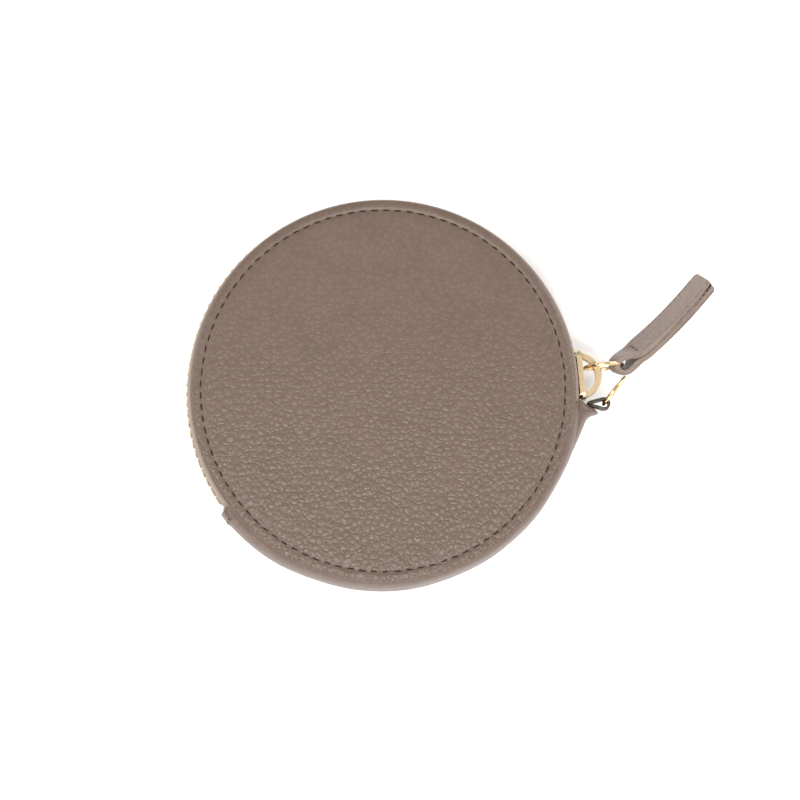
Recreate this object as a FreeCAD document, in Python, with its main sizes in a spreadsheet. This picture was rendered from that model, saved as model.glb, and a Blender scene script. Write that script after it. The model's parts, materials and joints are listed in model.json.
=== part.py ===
import FreeCAD, Part
import Sketcher
import math
import os

V = FreeCAD.Vector
doc = FreeCAD.newDocument("coin_purse")

# ---------------------------------------------------------------- sizes
# The purse lies on its back panel. +Z is out of the front panel, and the
# middle of the back panel's outer face is the origin. Millimetres, degrees.
SIZES = {
    # round body
    "panel_radius": 50.0,
    "body_depth": 22.0,
    "leather": 1.2,
    "board": 0.8,
    "lining": 0.5,
    "seam_width": 6.0,
    # lower gusset, a bent leather strip from the back panel to the front one
    "gusset_leather": 1.1,
    "gusset_lining": 0.4,
    # zip round the rim
    "zip_middle_angle": 107.0,
    "zip_half_angle": 110.25,
    "chain_offset": 0.7,
    "tape": 0.6,
    "tooth_pitch": 2.7,
    "tooth_length": 1.05,
    "tooth_height": 1.8,
    "tooth_reach": 1.0,
    "tooth_width": 4.0,
    "tape_slot": 1.6,
    "teeth_half_angle": 108.0,
    "stop_half_angle": 109.15,
    "stop_length": 0.7,
    # the part of the front that lifts
    "flap_half_angle": 90.0,
    "base_half_angle": 96.0,
    "flap_chain_half_angle": 80.0,
    "chain_split": 1.0,
    "fold_gap": 0.3,
    # zip slider
    "slider_end_angle": -1.866,
    "slider_length": 13.0,
    "slider_half_width": 4.6,
    "slider_plate": 0.8,
    "slider_gap": 0.2,
    "flange_width": 1.0,
    "crown_length": 12.0,
    "crown_rise": 4.9,
    "crown_bar": 1.6,
    "crown_width": 3.0,
    # rings
    "pull_ring_radius": 4.9,
    "pull_wire": 1.0,
    "pull_ring_shift": 2.0,
    "side_ring_radius": 4.5,
    "side_wire": 1.0,
    "side_ring_angle": 51.0,
    # leather puller
    "puller_angle": 43.0,
    "puller_length": 30.6,
    "puller_width": 6.8,
    "puller_thick": 3.2,
    "puller_neck": 4.4,
    "puller_loop": 2.1,
    "puller_hole": 1.3,
    # leather ends of the gusset and the side loop
    "tab_angle": -5.0,
    "tab_depth": 9.0,
    "left_tab_angle": 226.0,
    "loop_out": 6.72,
    "loop_up": 2.6,
    "loop_radius": 1.9,
    "loop_hole": 1.2,
    "loop_width": 4.0,
}

sheet = doc.addObject("Spreadsheet::Sheet", "dims")
for row, (name, size) in enumerate(SIZES.items(), start=1):
    sheet.set("A%d" % row, name)
    sheet.set("B%d" % row, str(size))
    sheet.setAlias("B%d" % row, name)
doc.recompute()


def expand(text):
    """Put the sheet's name in front of every size named in an expression."""
    words = []
    word = ""
    for letter in text + " ":
        if letter.isalnum() or letter == "_":
            word += letter
            continue
        words.append("dims." + word if word in SIZES else word)
        words.append(letter)
        word = ""
    return "".join(words).strip()


def value(text):
    """Value of an expression of named sizes."""
    found = sheet.evalExpression(expand(text))
    return float(getattr(found, "Value", found))


# Expressions that several pieces share
MIDDLE = "body_depth / 2"
CHAIN = "(panel_radius + chain_offset)"
GUSSET = "(panel_radius + chain_offset + tape / 2)"
INSIDE = "(panel_radius - seam_width)"
TURN = "zip_middle_angle - 90"
FLAP_LINE = CHAIN + " * cos(flap_half_angle * 1 deg)"
BASE_LINE = CHAIN + " * cos(base_half_angle * 1 deg)"
SLIDER_TURN = "(slider_end_angle + asin(slider_length / 2 / %s) / 1 deg)" % CHAIN
SLIDER_OUT = "(%s + tooth_height / 2 + slider_gap + slider_plate)" % CHAIN
PULL_RING_AT = "(%s + pull_wire + 0.25 + pull_ring_radius - pull_wire / 2)" % SLIDER_OUT


# ---------------------------------------------------------------- helpers
def new_body(label, turn=None, x=None, y=None, z=None):
    """Body whose Placement turns it about Z and moves it, by expressions."""
    body = doc.addObject("PartDesign::Body", label)
    body.Label = label
    set_place(body, turn, x, y, z)
    return body


def set_place(item, turn=None, x=None, y=None, z=None):
    """Bind an object's Placement to the sheet."""
    item.Placement = FreeCAD.Placement(V(0, 0, 0), FreeCAD.Rotation(V(0, 0, 1), 1))
    item.setExpression("Placement.Rotation.Angle", expand(turn) if turn else "0")
    for axis, text in (("x", x), ("y", y), ("z", z)):
        if text:
            item.setExpression("Placement.Base." + axis, expand(text))


def new_sketch(body, name, role="XY_Plane"):
    """Sketch on one of the body's own origin planes."""
    plane = [face for face in body.Origin.OriginFeatures if face.Role == role][0]
    sketch = body.newObject("Sketcher::SketchObject", name)
    sketch.AttachmentSupport = [(plane, "")]
    sketch.MapMode = "FlatFace"
    return sketch


def fix_point(sketch, index, corner, x, y):
    """Tie one end of a line to expressions for its two coordinates."""
    for kind, text, end in (("DistanceX", x, "x"), ("DistanceY", y, "y")):
        number = sketch.addConstraint(
            Sketcher.Constraint(kind, -1, 1, index, corner, value(text))
        )
        name = "at%d%s" % (index, end)
        sketch.renameConstraint(number, name)
        sketch.setExpression("Constraints." + name, expand(text))


def draw_outline(sketch, corners):
    """Closed outline of straight lines through corners given as expressions."""
    points = [V(value(x), value(y), 0) for x, y in corners]
    count = len(points)
    for index in range(count):
        sketch.addGeometry(Part.LineSegment(points[index], points[(index + 1) % count]))
    for index in range(count):
        sketch.addConstraint(
            Sketcher.Constraint("Coincident", index, 2, (index + 1) % count, 1)
        )
    for index, (x, y) in enumerate(corners):
        fix_point(sketch, index, 1, x, y)


def draw_circle(sketch, radius, x="0", y="0"):
    """Circle with its radius and middle given as expressions."""
    middle = V(value(x), value(y), 0)
    index = sketch.addGeometry(Part.Circle(middle, V(0, 0, 1), value(radius)))
    number = sketch.addConstraint(Sketcher.Constraint("Radius", index, value(radius)))
    sketch.renameConstraint(number, "radius%d" % index)
    sketch.setExpression("Constraints.radius%d" % index, expand(radius))
    if x == "0" and y == "0":
        sketch.addConstraint(Sketcher.Constraint("Coincident", index, 3, -1, 1))
    else:
        fix_point(sketch, index, 3, x, y)


def draw_segment(sketch, radius, line, upper):
    """Part of a disc on one side of a straight line along X."""
    size = value(radius)
    level = value(line)
    start = math.asin(level / size)
    ends = (start, math.pi - start) if upper else (math.pi - start, 2 * math.pi + start)
    circle = Part.Circle(V(0, 0, 0), V(0, 0, 1), size)
    sketch.addGeometry(Part.ArcOfCircle(circle, ends[0], ends[1]))
    points = [V(size * math.cos(end), size * math.sin(end), 0) for end in ends]
    sketch.addGeometry(Part.LineSegment(points[1], points[0]))
    sketch.addConstraint(Sketcher.Constraint("Coincident", 0, 2, 1, 1))
    sketch.addConstraint(Sketcher.Constraint("Coincident", 1, 2, 0, 1))
    sketch.addConstraint(Sketcher.Constraint("Coincident", 0, 3, -1, 1))
    sketch.addConstraint(Sketcher.Constraint("Horizontal", 1))
    number = sketch.addConstraint(Sketcher.Constraint("Radius", 0, size))
    sketch.renameConstraint(number, "radius")
    sketch.setExpression("Constraints.radius", expand(radius))
    number = sketch.addConstraint(
        Sketcher.Constraint("DistanceY", -1, 1, 1, 1, level)
    )
    sketch.renameConstraint(number, "line")
    sketch.setExpression("Constraints.line", expand(line))


def add_pad(body, sketch, length, middle=False):
    """Pad a sketch by an expression, either way from its plane if middle."""
    pad = body.newObject("PartDesign::Pad", sketch.Name + "_pad")
    pad.Profile = sketch
    pad.Midplane = middle
    pad.setExpression("Length", expand(length))
    sketch.Visibility = False
    return pad


def add_hole(body, sketch):
    """Cut a sketch through the whole body, both ways."""
    hole = body.newObject("PartDesign::Pocket", sketch.Name + "_hole")
    hole.Profile = sketch
    hole.Type = "ThroughAll"
    hole.Midplane = True
    sketch.Visibility = False
    return hole


def round_edges(body, radius, wanted):
    """Round the edges of the body so far that wanted accepts."""
    doc.recompute()
    tip = body.Tip
    names = []
    for number, edge in enumerate(tip.Shape.Edges, start=1):
        if wanted(edge):
            names.append("Edge%d" % number)
    fillet = body.newObject("PartDesign::Fillet", body.Name + "_round")
    fillet.Base = (tip, names)
    fillet.Radius = radius
    return fillet


def disc_layer(label, radius, low, thickness):
    """Round flat layer lying at a height."""
    body = new_body(label, turn=TURN, z=low)
    sketch = new_sketch(body, label + "_outline")
    draw_circle(sketch, radius)
    add_pad(body, sketch, thickness)
    return body


def segment_layer(label, radius, low, thickness, upper):
    """Flat layer on one side of the fold."""
    body = new_body(label, turn=TURN, z=low)
    sketch = new_sketch(body, label + "_outline")
    draw_segment(sketch, radius, FLAP_LINE if upper else BASE_LINE, upper)
    add_pad(body, sketch, thickness)
    return body


def swept_strip(label, profile, half_angle, middle="zip_middle_angle"):
    """Strip bent round the rim, drawn as a profile of radius and height."""
    body = new_body(label, turn=middle + " - 90")
    sketch = new_sketch(body, label + "_profile", "YZ_Plane")
    draw_outline(sketch, profile)
    turn = body.newObject("PartDesign::Revolution", label + "_bend")
    turn.Profile = sketch
    turn.ReferenceAxis = (sketch, ["V_Axis"])
    turn.Midplane = True
    turn.setExpression("Angle", expand("2 * (%s)" % half_angle))
    sketch.Visibility = False
    return body


# ---------------------------------------------------------------- panels
disc_layer("back_panel", "panel_radius", "0", "leather")
disc_layer("back_board", INSIDE, "leather", "board")
disc_layer("back_lining", INSIDE, "leather + board", "lining")

FRONT_LEATHER = "body_depth - leather"
FRONT_BOARD = "body_depth - leather - board"
FRONT_LINING = "body_depth - leather - board - lining"
for side, upper in (("flap", True), ("base", False)):
    segment_layer("front_panel_" + side, "panel_radius", FRONT_LEATHER, "leather", upper)
    segment_layer("front_board_" + side, INSIDE, FRONT_BOARD, "board", upper)
    segment_layer("front_lining_" + side, INSIDE, FRONT_LINING, "lining", upper)

# Leather between the two parts of the front, which bends as the flap lifts
band = new_body("front_fold_band", turn=TURN, z=FRONT_LEATHER)
band_sketch = new_sketch(band, "front_fold_band_outline")
band_half = "(panel_radius - 1)"
draw_outline(
    band_sketch,
    [
        ("-" + band_half, BASE_LINE + " + fold_gap"),
        (band_half, BASE_LINE + " + fold_gap"),
        (band_half, FLAP_LINE + " - fold_gap"),
        ("-" + band_half, FLAP_LINE + " - fold_gap"),
    ],
)
add_pad(band, band_sketch, "leather")


# ---------------------------------------------------------------- zip tapes
def tape_profile(front):
    """Tape from its seam under a panel out to the middle of the chain."""
    way = "+" if front else "-"
    level = {
        "slot": "%s %s tape_slot" % (MIDDLE, way),
        "straight": "%s %s (tooth_width - tooth_reach + 2.2)" % (MIDDLE, way),
        "panel": "%s %s (%s - leather)" % (MIDDLE, way, MIDDLE),
        "seam": "%s %s (%s - leather - tape)" % (MIDDLE, way, MIDDLE),
    }
    return [
        (CHAIN + " + tape / 2", level["slot"]),
        (CHAIN + " + tape / 2", level["straight"]),
        ("panel_radius - 0.3", level["panel"]),
        (INSIDE + " + 0.3", level["panel"]),
        (INSIDE + " + 0.3", level["seam"]),
        ("panel_radius - 0.9", level["seam"]),
        (CHAIN + " - tape / 2", level["straight"]),
        (CHAIN + " - tape / 2", level["slot"]),
    ]


def bead_profile():
    """Front edge of the tape alone, which the teeth hold."""
    top = MIDDLE + " + (tooth_width - tooth_reach + 0.2)"
    return [
        (CHAIN + " - tape / 2", MIDDLE + " + tape_slot"),
        (CHAIN + " + tape / 2", MIDDLE + " + tape_slot"),
        (CHAIN + " + tape / 2", top),
        (CHAIN + " - tape / 2", top),
    ]


swept_strip("back_zip_tape", tape_profile(False), "zip_half_angle")
swept_strip("front_zip_tape", tape_profile(True), "flap_chain_half_angle")

# Front tape on the right and left of the fold, where it stays with the base
for label, side in (("front_tape_right", -1), ("front_tape_left", 1)):
    fixed = "(base_half_angle + zip_half_angle) / 2"
    middle = "zip_middle_angle %s %s" % ("+" if side > 0 else "-", fixed)
    swept_strip(label, tape_profile(True), "(zip_half_angle - base_half_angle) / 2", middle)

# Tape between the moving part and the fixed parts, which bends with the flap
for label, side in (("tape_fold_right", -1), ("tape_fold_left", 1)):
    bend = "(base_half_angle + flap_chain_half_angle) / 2"
    middle = "zip_middle_angle %s %s" % ("+" if side > 0 else "-", bend)
    width = "(base_half_angle - flap_chain_half_angle) / 2 - 0.3"
    swept_strip(label, tape_profile(True), width, middle)


# ---------------------------------------------------------------- zip teeth
def tooth_solid(front):
    """One metal tooth at +X, its head past the middle and its legs on the tape."""
    reach = value("tooth_reach")
    width = value("tooth_width") - reach
    half = value("tooth_height") / 2
    slot = value("tape_slot")
    grip = value("tape") / 2
    neck = half * 0.62
    corners = [
        (-neck, -reach),
        (neck, -reach),
        (half, -reach + 0.5),
        (half, width - 0.3),
        (half - 0.3, width),
        (grip, width),
        (grip, slot),
        (-grip, slot),
        (-grip, width),
        (-half + 0.3, width),
        (-half, width - 0.3),
        (-half, -reach + 0.5),
    ]
    way = 1 if front else -1
    middle = value(MIDDLE)
    radius = value(CHAIN)
    long = value("tooth_length")
    points = [V(radius + x, -long / 2, middle + way * z) for x, z in corners]
    face = Part.Face(Part.makePolygon(points + points[:1]))
    return face.extrude(V(0, long, 0))


def teeth_group(label, front, lowest, highest):
    """Teeth of one side of the zip between two angles from its middle."""
    step = math.degrees(value("tooth_pitch") / value(CHAIN))
    limit = value("teeth_half_angle")
    start = 0.0 if front else step / 2
    tooth = tooth_solid(front)
    solids = []
    for number in range(-int(limit / step) - 1, int(limit / step) + 2):
        angle = start + number * step
        if abs(angle) <= limit and lowest <= abs(angle) < highest:
            one = tooth.copy()
            one.rotate(V(0, 0, 0), V(0, 0, 1), angle + 90)
            solids.append(one)
    group = doc.addObject("Part::Feature", label)
    group.Label = label
    group.Shape = Part.makeCompound(solids)
    set_place(group, TURN)


split = value("flap_chain_half_angle")
teeth_group("back_teeth", False, 0.0, 180.0)
teeth_group("front_teeth", True, 0.0, split)
teeth_group("front_teeth_ends", True, split + value("chain_split"), 180.0)


def stop_block(label, side):
    """Metal stop across the end of the chain."""
    body = new_body(label, turn="zip_middle_angle %s stop_half_angle" % side)
    sketch = new_sketch(body, label + "_profile", "XZ_Plane")
    inner = CHAIN + " - tooth_height / 2"
    outer = GUSSET + " - 0.05" if side == "-" else CHAIN + " + tooth_height / 2"
    low = MIDDLE + " - tape_slot + 0.1"
    high = MIDDLE + " + tape_slot - 0.1"
    draw_outline(sketch, [(inner, low), (outer, low), (outer, high), (inner, high)])
    add_pad(body, sketch, "stop_length", middle=True)


stop_block("top_stop", "-")
stop_block("bottom_stop", "+")


# ---------------------------------------------------------------- gusset
def gusset_profile(inset, thickness, seam):
    """Bulged strip; seam adds the two edges that lie under the panels."""
    high = "body_depth - leather"
    bulge = [
        ("(chain_offset + tape / 2 + 0.4)", "0"),
        ("0.5", "body_depth * 0.16"),
        ("0", "body_depth * 0.33"),
    ]
    reach = "(" + GUSSET + " - %s - %s)"
    outer = []
    inner = []
    for out, up in bulge:
        level = "leather + %s * (1 - 2 * leather / body_depth)" % up
        if up == "0":
            level = "leather + %s" % inset
        outer.append((reach % (out, inset), level))
        if up == "0":
            level = "leather + %s + %s" % (inset, thickness)
        inner.append((reach % (out, "(%s + %s)" % (inset, thickness)), level))
    top_outer = [(x, "body_depth - (%s)" % z) for x, z in reversed(outer)]
    top_inner = [(x, "body_depth - (%s)" % z) for x, z in reversed(inner)]
    outline = outer + top_outer
    if seam:
        outline = outline + [(INSIDE + " + 0.3", high)]
        outline = outline + [(INSIDE + " + 0.3", high + " - " + thickness)]
    outline = outline + list(reversed(inner + top_inner))
    if seam:
        outline = outline + [(INSIDE + " + 0.3", "leather + " + thickness)]
        outline = outline + [(INSIDE + " + 0.3", "leather")]
    return outline


GUSSET_HALF = "180 - zip_half_angle - 0.2"
GUSSET_MIDDLE = "zip_middle_angle + 180"
swept_strip("lower_gusset", gusset_profile("0", "gusset_leather", True), GUSSET_HALF, GUSSET_MIDDLE)
swept_strip(
    "gusset_lining",
    gusset_profile("gusset_leather", "gusset_lining", False),
    GUSSET_HALF,
    GUSSET_MIDDLE,
)


def end_tab(label, angle, outline):
    """Leather patch folded round one end of the gusset."""
    body = new_body(label, turn=angle, z=MIDDLE)
    sketch = new_sketch(body, label + "_outline")
    draw_outline(sketch, [(GUSSET + " + " + out, up) for out, up in outline])
    add_pad(body, sketch, "tab_depth", middle=True)
    inner = new_sketch(body, label + "_inner")
    draw_circle(inner, GUSSET)
    add_hole(body, inner)
    return body


end_tab(
    "right_end_tab",
    "tab_angle",
    [
        ("-1", "2.4"),
        ("1.86", "2.1"),
        ("3.54", "1.3"),
        ("5.82", "0.2"),
        ("2.9", "-1.1"),
        ("1.97", "-4.3"),
        ("0.2", "-10.2"),
        ("-2", "-10.2"),
    ],
)
end_tab(
    "left_end_tab",
    "left_tab_angle",
    [("-2", "-7"), ("0.3", "-6.4"), ("1.5", "-2"), ("1.8", "3"), ("1.4", "6"), ("-1", "6.3")],
)

# Leather loop that holds the side ring against the right end tab
loop = new_body("side_loop", turn="tab_angle", z=MIDDLE)
tail = new_sketch(loop, "side_loop_tail")
draw_outline(
    tail,
    [
        (GUSSET + " + 1.86", "2.1"),
        (GUSSET + " + 3.54", "1.3"),
        (GUSSET + " + loop_out - 1", "loop_up - loop_radius + 0.4"),
        (GUSSET + " + loop_out - 1", "loop_up + loop_radius - 0.4"),
        (GUSSET + " + 3.6", "loop_up + 0.4"),
        (GUSSET + " + 2.2", "loop_up - 0.1"),
    ],
)
add_pad(loop, tail, "loop_width", middle=True)
bend = new_sketch(loop, "side_loop_bend")
draw_circle(bend, "loop_radius", GUSSET + " + loop_out", "loop_up")
add_pad(loop, bend, "loop_width", middle=True)
eye = new_sketch(loop, "side_loop_eye")
draw_circle(eye, "loop_hole", GUSSET + " + loop_out", "loop_up")
add_hole(loop, eye)


# ---------------------------------------------------------------- slider
def slider_plate(label, inner_face, outer_face, flange_from, flange_to):
    """Plate across the chain with a flange along each side."""
    body = new_body(label, turn=SLIDER_TURN, z=MIDDLE)
    plate = new_sketch(body, label + "_plate", "XZ_Plane")
    half = "slider_half_width"
    draw_outline(
        plate,
        [
            (inner_face, "-" + half),
            (outer_face, "-" + half),
            (outer_face, half),
            (inner_face, half),
        ],
    )
    add_pad(body, plate, "slider_length", middle=True)
    for side, sign in (("low", "-"), ("high", "")):
        flange = new_sketch(body, label + "_flange_" + side, "XZ_Plane")
        edge = "%s(slider_half_width - flange_width)" % sign
        rim = "%sslider_half_width" % sign
        draw_outline(
            flange,
            [(flange_from, edge), (flange_to, edge), (flange_to, rim), (flange_from, rim)],
        )
        add_pad(body, flange, "slider_length - 2", middle=True)
    long = value("slider_length") / 2
    round_edges(
        body,
        1.6,
        lambda edge: abs(abs(edge.CenterOfMass.y) - long) < 1e-4
        and edge.BoundBox.YLength < 1e-4
        and edge.BoundBox.ZLength < 1e-4,
    )
    return body


# The plates are straight and the chain is bent, so the inner one stands
# further off by the rise of the bend over half the slider's length.
RISE = "(%s * (1 - cos(asin(slider_length / 2 / %s))))" % (CHAIN, CHAIN)
OUT_FACE = CHAIN + " + tooth_height / 2 + slider_gap"
IN_FACE = CHAIN + " - tooth_height / 2 - slider_gap - " + RISE
slider_plate(
    "slider_outer_plate",
    OUT_FACE,
    OUT_FACE + " + slider_plate",
    CHAIN + " + tape / 2 + slider_gap",
    OUT_FACE,
)
slider_plate(
    "slider_inner_plate",
    IN_FACE + " - slider_plate",
    IN_FACE,
    IN_FACE,
    CHAIN + " - tape / 2 - slider_gap - " + RISE,
)


def draw_arch(sketch, half, rise, base):
    """Half-moon standing on a line across X at a given height."""
    rise_mm = value(rise)
    half_mm = value(half)
    radius = (half_mm**2 + rise_mm**2) / (2 * rise_mm)
    foot = value(base)
    centre = foot + rise_mm - radius
    angle = math.atan2(half_mm, foot - centre)
    circle = Part.Circle(V(centre, 0, 0), V(0, 0, 1), radius)
    sketch.addGeometry(Part.ArcOfCircle(circle, -angle, angle))
    sketch.addGeometry(Part.LineSegment(V(foot, half_mm, 0), V(foot, -half_mm, 0)))
    sketch.addConstraint(Sketcher.Constraint("Coincident", 0, 2, 1, 1))
    sketch.addConstraint(Sketcher.Constraint("Coincident", 1, 2, 0, 1))
    sketch.addConstraint(Sketcher.Constraint("PointOnObject", 0, 3, -1))
    fix_point(sketch, 1, 1, base, half)
    sketch.addConstraint(Sketcher.Constraint("Vertical", 1))
    number = sketch.addConstraint(Sketcher.Constraint("Radius", 0, radius))
    sketch.renameConstraint(number, "bend")
    formula = "((%s)^2 + (%s)^2) / (2 * (%s))" % (half, rise, rise)
    sketch.setExpression("Constraints.bend", expand(formula))


crown = new_body("slider_crown", turn=SLIDER_TURN, z=MIDDLE)
arch = new_sketch(crown, "slider_crown_outside")
draw_arch(arch, "crown_length / 2", "crown_rise", SLIDER_OUT)
add_pad(crown, arch, "crown_width", middle=True)
window = new_sketch(crown, "slider_crown_window")
draw_arch(window, "crown_length / 2 - 1.4", "crown_rise - crown_bar", SLIDER_OUT)
add_hole(crown, window)
outside = value("crown_length") / 2
round_edges(
    crown,
    0.3,
    lambda edge: edge.BoundBox.ZLength < 1e-4 and edge.BoundBox.YLength > 2 * outside - 1,
)


# ---------------------------------------------------------------- rings
def ring(label, radius, wire, angle, out, across="0", face="0", at_x="0", at_y="0"):
    """Wire ring standing on edge, its middle out along X after a turn about Z."""
    item = doc.addObject("Part::Torus", label)
    item.Label = label
    item.setExpression("Radius1", expand(radius))
    item.setExpression("Radius2", expand(wire + " / 2"))
    stand = FreeCAD.Rotation(V(1, 0, 0), 90)
    turn = FreeCAD.Rotation(V(0, 0, 1), value(face))
    item.Placement = FreeCAD.Placement(V(0, 0, 0), turn.multiply(stand))
    along = "cos((%s) * 1 deg)" % angle
    aside = "sin((%s) * 1 deg)" % angle
    item.setExpression(
        "Placement.Base.x", expand("%s + (%s) * %s - (%s) * %s" % (at_x, out, along, across, aside))
    )
    item.setExpression(
        "Placement.Base.y", expand("%s + (%s) * %s + (%s) * %s" % (at_y, out, aside, across, along))
    )
    item.setExpression("Placement.Base.z", expand(MIDDLE))
    return item


ring(
    "pull_ring",
    "pull_ring_radius",
    "pull_wire",
    SLIDER_TURN,
    PULL_RING_AT,
    across="pull_ring_shift",
    face=SLIDER_TURN,
)

EYE_OUT = "(%s + loop_out)" % GUSSET
EYE_X = "(%s * cos(tab_angle * 1 deg) - loop_up * sin(tab_angle * 1 deg))" % EYE_OUT
EYE_Y = "(%s * sin(tab_angle * 1 deg) + loop_up * cos(tab_angle * 1 deg))" % EYE_OUT
ring(
    "side_ring",
    "side_ring_radius",
    "side_wire",
    "side_ring_angle",
    "side_ring_radius",
    face="side_ring_angle",
    at_x=EYE_X,
    at_y=EYE_Y,
)

# ---------------------------------------------------------------- puller
HOLD_OUT = "(%s + pull_ring_radius)" % PULL_RING_AT
SLIDER_COS = "cos(%s * 1 deg)" % SLIDER_TURN
SLIDER_SIN = "sin(%s * 1 deg)" % SLIDER_TURN
HOLD_X = "(%s * %s - pull_ring_shift * %s)" % (HOLD_OUT, SLIDER_COS, SLIDER_SIN)
HOLD_Y = "(%s * %s + pull_ring_shift * %s)" % (HOLD_OUT, SLIDER_SIN, SLIDER_COS)
puller = new_body("puller_strap", turn="puller_angle", x=HOLD_X, y=HOLD_Y, z=MIDDLE)
neck = new_sketch(puller, "puller_neck_outline")
draw_outline(
    neck,
    [
        ("puller_hole * 0.2", "-puller_loop"),
        ("puller_loop + 2.6", "-puller_thick / 2"),
        ("puller_loop + 2.6", "puller_thick / 2"),
        ("puller_hole * 0.2", "puller_loop"),
    ],
)
add_pad(puller, neck, "puller_neck", middle=True)
fold = new_sketch(puller, "puller_fold")
draw_circle(fold, "puller_loop")
add_pad(puller, fold, "puller_neck", middle=True)
strap = new_sketch(puller, "puller_strap_outline", "XZ_Plane")
draw_outline(
    strap,
    [
        ("puller_loop + 1.2", "-puller_neck / 2"),
        ("puller_loop + 2.4", "-puller_width / 2"),
        ("puller_length", "-puller_width / 2"),
        ("puller_length", "puller_width / 2"),
        ("puller_loop + 2.4", "puller_width / 2"),
        ("puller_loop + 1.2", "puller_neck / 2"),
    ],
)
add_pad(puller, strap, "puller_thick", middle=True)
end = value("puller_length")
round_edges(
    puller,
    1.6,
    lambda edge: abs(edge.CenterOfMass.x - end) < 1e-4
    and edge.BoundBox.XLength < 1e-4
    and edge.BoundBox.ZLength < 1e-4,
)
hold = new_sketch(puller, "puller_hole_outline")
draw_circle(hold, "puller_hole")
add_hole(puller, hold)

# ---------------------------------------------------------------- output
doc.recompute()
for item in doc.Objects:
    if "Invalid" in item.State or "Error" in item.State:
        raise RuntimeError("%s has state %s" % (item.Name, item.State))
os.makedirs("parts", exist_ok=True)
for item in doc.Objects:
    if item.TypeId not in ("PartDesign::Body", "Part::Feature", "Part::Torus"):
        continue
    if item.Shape.isNull() or not item.Shape.isValid():
        raise RuntimeError(item.Label + " has no sound shape")
    item.Shape.exportStep(os.path.join("parts", item.Label + ".step"))
    box = item.Shape.BoundBox
    print(
        "%-20s %8.2f mm3 %2d solids x %7.2f..%7.2f y %7.2f..%7.2f z %6.2f..%6.2f"
        % (item.Label, item.Shape.Volume, len(item.Shape.Solids),
           box.XMin, box.XMax, box.YMin, box.YMax, box.ZMin, box.ZMax)
    )
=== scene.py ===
"""Coin purse: leather, lining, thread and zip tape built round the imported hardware."""

import json
import logging
import math
from collections.abc import Callable, Sequence
from dataclasses import dataclass, field
from enum import Enum

import bmesh
import bpy
from mathutils import Matrix, Vector


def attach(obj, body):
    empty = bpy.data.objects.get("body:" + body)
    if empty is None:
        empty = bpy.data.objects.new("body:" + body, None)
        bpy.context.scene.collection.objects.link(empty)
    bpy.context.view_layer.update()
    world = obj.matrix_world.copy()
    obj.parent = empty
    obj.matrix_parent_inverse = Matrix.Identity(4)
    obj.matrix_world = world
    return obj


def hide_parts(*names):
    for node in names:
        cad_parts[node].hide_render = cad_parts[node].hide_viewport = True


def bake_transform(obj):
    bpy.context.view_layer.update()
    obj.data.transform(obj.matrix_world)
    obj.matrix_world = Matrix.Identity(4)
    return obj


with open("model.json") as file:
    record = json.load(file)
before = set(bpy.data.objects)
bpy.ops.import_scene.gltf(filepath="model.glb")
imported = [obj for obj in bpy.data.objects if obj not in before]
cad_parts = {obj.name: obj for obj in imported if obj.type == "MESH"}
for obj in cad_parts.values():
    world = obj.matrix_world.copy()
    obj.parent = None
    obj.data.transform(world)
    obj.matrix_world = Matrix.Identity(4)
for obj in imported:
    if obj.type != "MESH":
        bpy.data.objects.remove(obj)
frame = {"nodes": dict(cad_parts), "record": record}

log = logging.getLogger("coin_purse")

MM = 0.001
Point = tuple[float, float]
Colour = tuple[float, float, float]


# ---------------------------------------------------------------- shader graph
class Socket:
    """Output of a shader node that takes part in ordinary arithmetic."""

    def __init__(self, graph: "Graph", out: bpy.types.NodeSocket | None) -> None:
        """Keep the graph and the output it stands for."""
        self.graph = graph
        self.out = out

    def maths(self, kind: str, *others: "Socket | float") -> "Socket":
        """Apply a Math node.

        Args:
            kind: the Math node's operation.
            others: the other operands.

        Returns:
            The node's output.
        """
        values = dict(enumerate((self, *others)))
        return self.graph.node("ShaderNodeMath", {"operation": kind}, values)

    def __add__(self, other: "Socket | float") -> "Socket":
        """Sum."""
        return self.maths("ADD", other)

    def __sub__(self, other: "Socket | float") -> "Socket":
        """Difference."""
        return self.maths("SUBTRACT", other)

    def __mul__(self, other: "Socket | float") -> "Socket":
        """Product."""
        return self.maths("MULTIPLY", other)

    def __rsub__(self, other: float) -> "Socket":
        """Number minus this."""
        return self * -1.0 + other

    __radd__ = __add__
    __rmul__ = __mul__


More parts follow.
